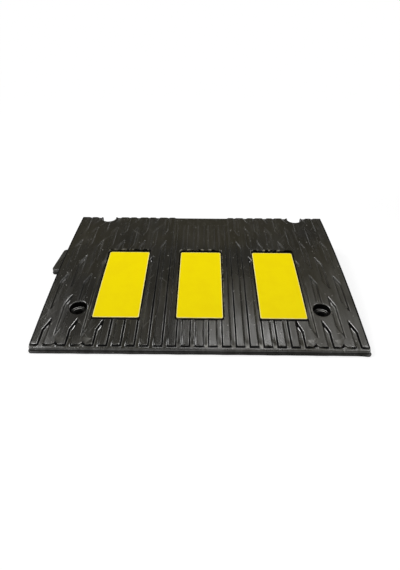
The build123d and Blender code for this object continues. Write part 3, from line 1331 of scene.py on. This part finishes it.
@dataclass
class RubberWearAndPaintedLight:
    """Painted shade and highlight on the moulding, with its wear and pale flecks, as marks that its
    finish reads.

    A mark is a product of ramps, or the largest of several. A ramp is read off a curve at a
    point's distance from the slots, pockets, bores or outline, or at its place on the ramp.
    """

    body: RubberBody
    points: Array

    FACE_REACH = 0.1           # how far below the upper face its own points may lie
    OUTLINE_REACH = 0.05       # how far outside the outline the upper face may go
    FLOOR_REACH = 0.1          # how far from the slots' feet their floor starts
    BEVEL_REACH = 3.0          # how far from an edge its bevels may lie
    PROBE = 0.05               # half the step over which a slope is taken
    TURNED = 0.15              # a bevel turned this far counts as facing that way
    RIB_TOP = 0.5              # how far from the slots a rib's top starts

    # Painted black shade on the slot walls, by the place up the ramp and the way they face.
    OUTER_SHADE = ((-145.0, -120.0, 80.0), (1.7, 0.92, 0.84))
    INNER_SHADE = ((-90.0, -60.0, 80.0), (1.7, 1.0, 0.86))
    AWAY_SHADE = ((-1.0, -0.3, 0.0), (0.91, 0.96, 1.7))
    SHIFTED_SHADE = 0.9
    MOUTH_END = -167.0

    # Painted black shade in the pockets and bores, on the border and on the outer wall.
    POCKET_WALL = -0.2
    POCKET_LIP = 0.75
    POCKET_END = -4.8
    FRONT_BORE_SHADE = 0.95
    CREST_BORE_SHADE = 0.87
    BORE_REACH = 0.1
    BORDER_START = 4.0
    BORDER_SHADE = ((-2.95, -2.6), (0.0, 1.0))
    SKIRT_REACH = 3.0
    GROOVE = (4.65, 5.65)
    UNDERCUT = 1.65
    LIP_SHADE = 0.89

    # Pale flecks along the pockets' edges, and painted highlight with wear on bevels, bores and
    # front ledge.
    FLECK_EDGE = ((-0.21, 0.09, 0.6, 0.95), (0.0, 1.0, 1.0, 0.0))
    FAR_END = ((-8.0, -1.0), (0.0, 1.0))
    SIDE_FLECKS = ((20.0, 38.0, 94.0, 110.0), (0.1, 0.4, 0.4, 0.1))
    END_FLECKS = ((-1.0, 0.0, 1.0), (0.6, 0.8, 1.0))
    BORE_RUB_AND_HIGHLIGHT = ((-0.1, 0.0, 0.5, 1.8), (0.0, 0.5, 0.5, 0.0))
    LEAST_RUB = 0.06
    INWARD_RUB_AND_HIGHLIGHT = 0.45
    FORWARD_RUB_AND_HIGHLIGHT = 1.2
    RUB_AND_HIGHLIGHT_RUN = ((-135.0, -60.0), (1.0, 0.12))
    LEDGE_ALONG = ((-70.0, 0.0, 110.0, 200.0), (0.0, 0.8, 0.8, 0.1))
    LEDGE_ACROSS = ((3.0, 4.5, 11.0, 11.1), (0.0, 1.0, 1.0, 0.0))

    def __post_init__(self) -> None:
        """Works out the distances of the points and the way their bevels face."""
        body, plan = self.body, self.points[:, :2]
        self.plan, self.x, self.y, self.height = plan, *self.points.T
        self.tread, self.pocket = nearest(body.tread, plan), nearest(body.pockets, plan)
        self.outline, self.bore = body.outline.distance(plan), nearest(body.bores, plan)
        on_face = self.height > body.upper(plan) - self.FACE_REACH
        self.upper = on_face & (self.outline < self.OUTLINE_REACH)
        self.floor = self.tread < body.tread_edge.distances[0] + self.FLOOR_REACH
        self.inward, self.forward = self.facing()

    def facing(self) -> tuple[Array, Array]:
        """Which way the bevels of slots and bores face: the slope of the distance along x and y.

        Returns:
            How far they face the middle of the ramp and how far its low edge, each from -1 to 1.
        """
        sunk = [*self.body.tread, *self.body.bores]
        near = np.abs(nearest(sunk, self.plan)) < self.BEVEL_REACH
        slopes = np.zeros((2, len(self.plan)))
        for axis, probe in enumerate(self.PROBE * np.eye(2)):
            slope = nearest(sunk, self.plan[near] + probe) - nearest(sunk, self.plan[near] - probe)
            slopes[axis, near] = np.clip(slope / (2.0 * self.PROBE), -1.0, 1.0)
        return slopes[0] * np.sign(self.x), slopes[1]

    def slot_painted_shade(self) -> Array:
        """Painted black shade of the slot walls.

        The walls' own mark, held down by the place up the ramp, in the shifted columns and on
        bevels that face away from the middle. The forward corners of the slot mouths are painted
        black.

        Returns:
            The mark of each point.
        """
        body = self.body
        outer = np.abs(self.x) > body.panel_spacing + body.pocket_half_width - body.slot_width
        most = np.where(outer, np.interp(self.y, *self.OUTER_SHADE),
                        np.interp(self.y, *self.INNER_SHADE))
        most = np.where(body.shifted(self.plan), np.minimum(most, self.SHIFTED_SHADE), most)
        most = np.minimum(most, np.interp(self.inward, *self.AWAY_SHADE))
        painted_shade = np.minimum(body.tread_edge.wall(self.tread), most) * (self.pocket > self.POCKET_WALL)
        corner = (self.forward > self.TURNED) & (self.inward < -self.TURNED)
        mouth = corner & (self.y < self.MOUTH_END) & (np.abs(self.tread) < self.BEVEL_REACH)
        return np.maximum(painted_shade, mouth) * np.interp(self.bore, *body.BORE_FADE)

    def painted_shade(self) -> Array:
        """Painted black shade of the upper face: the slot walls, the pockets, the bores and the
        outer border.

        Returns:
            The mark of each point.
        """
        body = self.body
        slot_floor = self.floor & (self.pocket > self.POCKET_END) & (self.y < body.hole_y)
        pockets = (self.pocket < self.POCKET_LIP) & ~slot_floor
        bores = np.where(self.y < 0.0, self.FRONT_BORE_SHADE, self.CREST_BORE_SHADE)
        behind_front = self.y > self.BORDER_START - body.half_depth
        border = behind_front & (self.outline < body.STEP_RINGS[0] / 2.0)
        return np.max([self.slot_painted_shade(), pockets, bores * (self.bore < self.BORE_REACH),
                       np.interp(self.outline, *self.BORDER_SHADE) * border], axis=0)

    def skirt_painted_shade(self) -> Array:
        """Painted black shade of the outer wall's foot: full in groove and undercut, less between
        them.

        Returns:
            The mark of each point.
        """
        body, (low, high) = self.body, self.GROOVE
        outer = np.abs(nearest([body.outline, body.tongue], self.plan)) < self.SKIRT_REACH
        sunk = (self.height < self.UNDERCUT) | (self.height > low)
        foot = outer & ~self.upper & (self.height < high)
        return np.where(sunk, 1.0, self.LIP_SHADE) * foot

    def pale_flecks(self) -> Array:
        """Pale flecks along the pockets' edges: most at their far ends, less along their sides.

        Returns:
            The mark of each point.
        """
        edge = np.interp(self.pocket, *self.FLECK_EDGE) * (self.tread > self.RIB_TOP)
        far = np.interp(self.y - self.body.pocket_high, *self.FAR_END)
        side = np.interp(self.x, *self.SIDE_FLECKS)
        end = np.interp(self.x / self.body.panel_spacing, *self.END_FLECKS)
        return edge * (side + (end - side) * far)

    def rubbing_and_highlight(self) -> Array:
        """Painted highlight with wear on bevels: those that face the middle, more so where they
        face the low edge too.

        Returns:
            The mark of each point.
        """
        inward, forward = np.clip(self.inward, 0.0, 1.0), np.clip(self.forward, 0.0, 1.0)
        share = self.LEAST_RUB + inward * (self.INWARD_RUB_AND_HIGHLIGHT + self.FORWARD_RUB_AND_HIGHLIGHT * forward)
        return np.clip(share, 0.0, 1.0) * np.interp(self.y, *self.RUB_AND_HIGHLIGHT_RUN)

    def ledge(self) -> Array:
        """Painted highlight with wear on the strip in front of the ribs, most right of the middle.
        """
        across = np.interp(self.y + self.body.half_depth, *self.LEDGE_ACROSS)
        return np.interp(self.x, *self.LEDGE_ALONG) * across * self.floor

    def marks(self) -> dict[str, Array]:
        """Marks of every point, by the names that the finish reads.

        Returns:
            Values from 0 to 1, and past 1 for the walls' painted black shade where it reaches into
            the bevels.
        """
        ledge = self.ledge()
        # Rims of the bores and the front ledge: painted highlight with wear.
        rim = np.maximum(np.interp(self.bore, *self.BORE_RUB_AND_HIGHLIGHT), ledge)
        wear_and_highlight = np.maximum(self.rubbing_and_highlight(), ledge)
        return {"rim": rim * self.upper, "wall": self.painted_shade() * self.upper + self.skirt_painted_shade(),
                "pale_fleck": self.pale_flecks() * self.upper, "wear_and_highlight": wear_and_highlight * self.upper}


@dataclass
class ReflectivePanel:
    """One yellow sheet and the adhesive that holds it in its pocket."""

    place: Place
    sheet_material: bpy.types.Material
    adhesive_material: bpy.types.Material
    arch: Arch
    spacing: float = 132.0
    half_width: float = 36.7
    low: float = -118.7
    high: float = 49.8
    corner: float = 3.0
    sheet_top: float = 2.5
    sheet_bottom: float = 3.6
    adhesive_top: float = 3.7
    adhesive_bottom: float = 4.1
    rim_radius: float = 0.5
    squeeze: float = 0.3
    bead_height: float = 0.6

    RIM_RINGS = (0.0, -0.1, -0.28, -0.5, -0.9, -1.4)
    BEND_STEP = 12.0           # distance between rows of points up the ramp
    GRID_SHARES = np.linspace(-0.9, 0.9, 10)
    HIGHLIGHT_EDGE = ((0.9, 1.4), (1.0, 0.0))
    BEAD_WAVES = (3.7, 5.3, 2.9, 8.1)
    BEAD_ACROSS = ((-0.2, 0.05, 0.3), (0.0, 1.0, 0.3))

    def plan(self, grow: float = 0.0) -> Polygon:
        """Rounded rectangle of the panel, grown all round."""
        middle, half = self.place.value * self.spacing, self.half_width
        return rectangle((middle - half - grow, self.low - grow),
                         (middle + half + grow, self.high + grow), (self.corner + grow,) * 4)

    def bead(self, plan: Array) -> Array:
        """Share of the squeezed-out bead that stands against the sheet's edge.

        The product of two crossed waves, times a ramp by the distance from the edge.

        Args:
            plan: Points seen from above.

        Returns:
            Values from 0 to 1.
        """
        (x, y), (a, b, c, d) = plan.T, self.BEAD_WAVES
        wave = 0.5 + 0.5 * np.sin(x / a + y / b) * np.sin(y / c - x / d)
        return wave * np.interp(self.plan().distance(plan), *self.BEAD_ACROSS)

    def layer(self, shape: Polygon, top: float, bottom: float,
              bead: float = 0.0) -> tuple[Array, list[Array]]:
        """A layer bent to the arch: the arch less a depth, with its upper rim rounded.

        Args:
            shape: Its plan.
            top: Depth of its upper face below the rib tops.
            bottom: Depth of its lower face.
            bead: Height of the bead along its rim.

        Returns:
            Points in millimetres, and arrays of faces as rows of point indices.
        """
        upper_lines, lower_lines = LineSet(), LineSet()
        for offset in self.RIM_RINGS:
            upper_lines.add(shape.ring(offset))
        rows = np.arange(self.low + self.BEND_STEP, self.high, self.BEND_STEP)
        across = self.GRID_SHARES * self.half_width + self.place.value * self.spacing
        grid = np.stack(np.meshgrid(across, rows), axis=2).reshape(-1, 2)
        upper_lines.add_points(grid)
        lower_lines.add_points(grid)

        def upper(plan: Array) -> Array:
            """The arch less the depth and the quarter round of the rim, with the bead on top."""
            drop = quarter_round(-shape.distance(plan), self.rim_radius)
            return self.arch.height(plan[:, 1]) - top - drop + bead * self.bead(plan)

        def lower(plan: Array) -> Array:
            """The arch less the lower depth."""
            return self.arch.height(plan[:, 1]) - bottom

        return PlanSolid(shape.distance, upper, lower, upper_lines, lower_lines).surfaces()

    def build(self) -> list[bpy.types.Object]:
        """Makes the sheet and its adhesive and dresses them.

        Returns:
            The sheet and the adhesive.
        """
        points, faces = self.layer(self.plan(), self.sheet_top, self.sheet_bottom)
        # Share of the painted highlight along the sheet's edge.
        edge = np.interp(-self.plan().distance(points[:, :2]), *self.HIGHLIGHT_EDGE)
        sheet = mesh_object(self.place.named("yellow_sheet"), points, faces, {"rim": edge})
        points, faces = self.layer(self.plan(self.squeeze), self.adhesive_top,
                                   self.adhesive_bottom, self.bead_height)
        adhesive = mesh_object(self.place.named("adhesive"), points, faces, {})
        return [seat(sheet, self.place.named("reflective_sheet"),
                     self.sheet_material),
                seat(adhesive, self.place.named("adhesive_layer"),
                     self.adhesive_material)]


@dataclass
class FixingBush:
    """Flanged steel bush in a front hole: its section turned round an upright axis."""

    place: Place
    material: bpy.types.Material
    hole_x: float = 193.8
    hole_y: float = -101.8
    bore_radius: float = 6.25
    tube_radius: float = 8.5
    flange_radius: float = 12.0
    lift: float = 1.0
    seat_height: float = 17.0
    collar: float = 4.5
    rim: float = 0.5
    fillet: float = 0.3
    edge: float = 0.2
    fade: float = 0.05
    lip_radius: float = 11.75
    step_radius: float = 11.25
    step_depth: float = 1.3
    mouth_radius: float = 9.5
    throat_radius: float = 9.0
    throat_depth: float = 2.5
    slope: float = 0.72
    bright_turn: float = 0.45
    bright_power: int = 4
    segments: int = 64

    def section(self) -> Array:
        """Corners of half the section, outside upwards then down the stepped bore.

        Returns:
            Rows of radius, height and the finish's mark, which is 1 on the bore's two chamfers.
        """
        seat_z, top, rim = self.seat_height, self.seat_height + self.collar, self.rim
        fillet, edge, fade = self.fillet, self.edge, self.fade
        bore, tube, flange = self.bore_radius, self.tube_radius, self.flange_radius
        lip, step, mouth = self.lip_radius, self.step_radius, self.mouth_radius
        throat, shelf, floor = self.throat_radius, top - self.step_depth, top - self.throat_depth
        lip_z = top - self.slope * (lip - step)
        mouth_z = shelf - self.slope * (mouth - throat)
        return np.array([
            (bore + rim, self.lift, 0.0), (tube - rim, self.lift, 0.0),
            (tube, self.lift + rim, 0.0), (tube, seat_z - fillet, 0.0),
            (tube + fillet, seat_z, 0.0), (flange - fillet, seat_z, 0.0),
            (flange, seat_z + fillet, 0.0), (flange, top - edge, 0.0), (flange - edge, top, 0.0),
            (lip + fade, top, 0.0), (lip, top, 1.0), (step, lip_z, 1.0),
            (step, lip_z - fade, 0.0), (step, shelf, 0.0), (mouth + fade, shelf, 0.0),
            (mouth, shelf, 1.0), (throat, mouth_z, 1.0), (throat, mouth_z - fade, 0.0),
            (throat, floor, 0.0), (bore + rim, floor, 0.0), (bore, floor - rim, 0.0),
            (bore, self.lift + rim, 0.0)])

    def build(self) -> list[bpy.types.Object]:
        """Turns the section and dresses the piece, bright where the chamfers face the light.

        Returns:
            The bush alone.
        """
        section, circle = self.section(), circle_points(self.segments)
        middle = (self.place.value * self.hole_x, self.hole_y, 0.0)
        points = (turned(section[:, 0], section[:, 1:2], circle) + middle).reshape(-1, 3)
        index = np.arange(len(points)).reshape(len(section), self.segments)
        quads = band_quads(index, np.roll(index, -1, axis=0))
        turn = self.bright_turn
        shone = np.array([math.sin(turn) * self.place.value, math.cos(turn)])
        rim = section[:, 2:] * np.clip(circle @ shone, 0.0, 1.0) ** self.bright_power
        piece = mesh_object(self.place.named("steel_bush"), points, [quads], {"rim": rim.ravel()})
        return [seat(piece, self.place.named("fixing_bush"), self.material)]


def stand(data: bpy.types.ID, place: Array, axes: Array) -> bpy.types.Object:
    """Puts a lamp or a camera into the scene.

    Args:
        data: The lamp or camera, whose name the object takes.
        place: Where it stands, in metres.
        axes: Its own three axes, one per column.

    Returns:
        The object.
    """
    thing = bpy.data.objects.new(data.name, data)
    thing.matrix_world = Matrix.Translation(place) @ Matrix(axes.tolist()).to_4x4()
    bpy.context.scene.collection.objects.link(thing)
    return thing


@dataclass(frozen=True)
class Lamp:
    """Soft rectangular lamp that faces the origin. Its place and sides are in metres."""

    name: str
    place: Triple
    sides: Pair
    watts: float
    across: Triple = (0.0, 1.0, 0.0)

    def build(self) -> None:
        """Adds the lamp, with its first side square to the direction across."""
        light = bpy.data.lights.new(self.name, "AREA")
        light.shape = "RECTANGLE"
        light.size, light.size_y = self.sides
        light.energy = self.watts
        away = np.array(self.place) / np.linalg.norm(self.place)
        side = np.cross(self.across, away)
        side /= np.linalg.norm(side)
        stand(light, np.array(self.place), np.column_stack([side, np.cross(away, side), away]))


@dataclass
class Studio:
    """Pale floor and backdrop, soft lamps and the camera at the photograph's place.

    The stage and the camera's clipping are in metres, and angles are in radians.
    """

    finish: StageFinish
    backdrop_height: float = 0.75
    near_height: float = 2.3
    floor_drop: float = 0.0004
    segments: int = 72
    world_level: float = 0.1
    image_height: int = 570
    sensor: float = 36.0
    focal_pixels: float = 424.416
    clipping: Pair = (0.01, 50.0)
    camera_place: Triple = (5.861, -663.026, 404.519)
    pitch: float = 0.5352
    yaw: float = -0.0099
    roll: float = 0.0037
    lamps: tuple[Lamp, ...] = (
        Lamp("overhead_softbox", (0.24, 0.46, 1.45), (0.46, 0.2), 3.0),
        Lamp("left_softbox", (-1.06, 0.07, 1.45), (0.6, 0.28), 12.0),
        Lamp("right_softbox", (1.02, 0.11, 1.45), (0.5, 0.38), 8.3),
        Lamp("back_left_softbox", (-1.47, 1.03, 1.26), (0.35, 0.8), 7.0, (0.0, 0.0, 1.0)),
        Lamp("back_right_softbox", (1.47, 1.03, 1.26), (0.35, 0.8), 3.2, (0.0, 0.0, 1.0)),
        Lamp("strip_softbox", (0.0, -0.23, 1.45), (0.8, 0.25), 3.5),
        Lamp("key_softbox", (-0.6, -1.45, 1.3), (1.0, 0.6), 3.8))

    STAGE_RADII = (0.0, 0.3, 0.6, 0.9, 1.2, 1.8, 2.4, 3.2, 3.45, 3.56, 3.6, 3.6)
    STAGE_BEND = (0.0, 0.0, 0.0, 0.0, 0.0, 0.0, 0.0, 0.0, 0.04, 0.12, 0.25, 0.0)
    NEAR_SIDE = (-0.35, -0.05)
    RISE_BEHIND = ((0.2, 0.6, 1.2, 2.0), (0.0, 0.5, 0.85, 1.0))
    RISE_ROUND = ((0.7, 1.8), (0.0, 1.0))

    def stage_mesh(self) -> bpy.types.Object:
        """Floor and backdrop in one sheet: growing rings, the last ones raised, most in front.

        Returns:
            The stage object.
        """
        radius, circle = np.array(self.STAGE_RADII), circle_points(self.segments)
        bend = np.array(self.STAGE_BEND)[:, None] - self.floor_drop
        height = np.repeat(bend, len(circle), axis=1)
        ends = (self.near_height, self.backdrop_height)
        height[-1] = np.interp(circle[:, 1], self.NEAR_SIDE, ends)
        points = turned(radius, height, circle)
        index = np.arange(points.size // 3).reshape(len(radius), len(circle))
        quads = band_quads(index[1:], index[:-1])
        behind = np.interp(points[..., 1], *self.RISE_BEHIND)
        rise = np.maximum(behind, np.interp(radius, *self.RISE_ROUND)[:, None]).ravel()
        return mesh_object("studio_floor", points.reshape(-1, 3) / MM, [quads], {"rise": rise})

    def camera(self) -> None:
        """Adds the camera: pitch and yaw give its view line, and roll turns it about that."""
        level = np.array([math.sin(self.yaw), math.cos(self.yaw), 0.0])
        ahead = math.cos(self.pitch) * level - (0.0, 0.0, math.sin(self.pitch))
        right = np.array([math.cos(self.yaw), -math.sin(self.yaw), 0.0])
        up = np.cross(right, ahead)
        across = math.cos(self.roll) * right + math.sin(self.roll) * up
        upward = math.cos(self.roll) * up - math.sin(self.roll) * right
        data = bpy.data.cameras.new("photo_camera")
        data.sensor_width = self.sensor
        data.lens = self.focal_pixels * self.sensor / self.image_height
        data.clip_start, data.clip_end = self.clipping
        axes = np.column_stack([across, upward, -ahead])
        bpy.context.scene.camera = stand(data, np.array(self.camera_place) * MM, axes)

    def build(self) -> None:
        """Sets up the stage, the world, the lamps and the camera."""
        stage = self.stage_mesh()
        stage.data.materials.append(self.finish.material())
        world = bpy.data.worlds.new("studio_world")
        world.use_nodes = True
        sky = world.node_tree.nodes["Background"]
        sky.inputs["Color"].default_value = (1.0, 1.0, 1.0, 1.0)
        sky.inputs["Strength"].default_value = self.world_level
        bpy.context.scene.world = world
        for lamp in self.lamps:
            lamp.build()
        self.camera()
        bpy.context.scene.view_settings.view_transform = "Standard"


def main() -> None:
    """Builds every piece in order."""
    logging.basicConfig(level=logging.INFO, format="%(message)s")
    arch = Arch()
    sheet, adhesive = SheetFinish().material(), AdhesiveFinish().material()
    steel = SteelFinish().material()
    makers = [RubberBody(RubberFinish(), arch),
              *(ReflectivePanel(place, sheet, adhesive, arch) for place in Place),
              *(FixingBush(place, steel) for place in (Place.LEFT, Place.RIGHT))]
    for maker in makers:
        for piece in maker.build():
            LOG.info("%s: %d faces of %s", piece.name, len(piece.data.polygons),
                     piece.active_material.name)
    Studio(StageFinish()).build()
    bpy.context.view_layer.update()


if __name__ == "__main__":
    main()
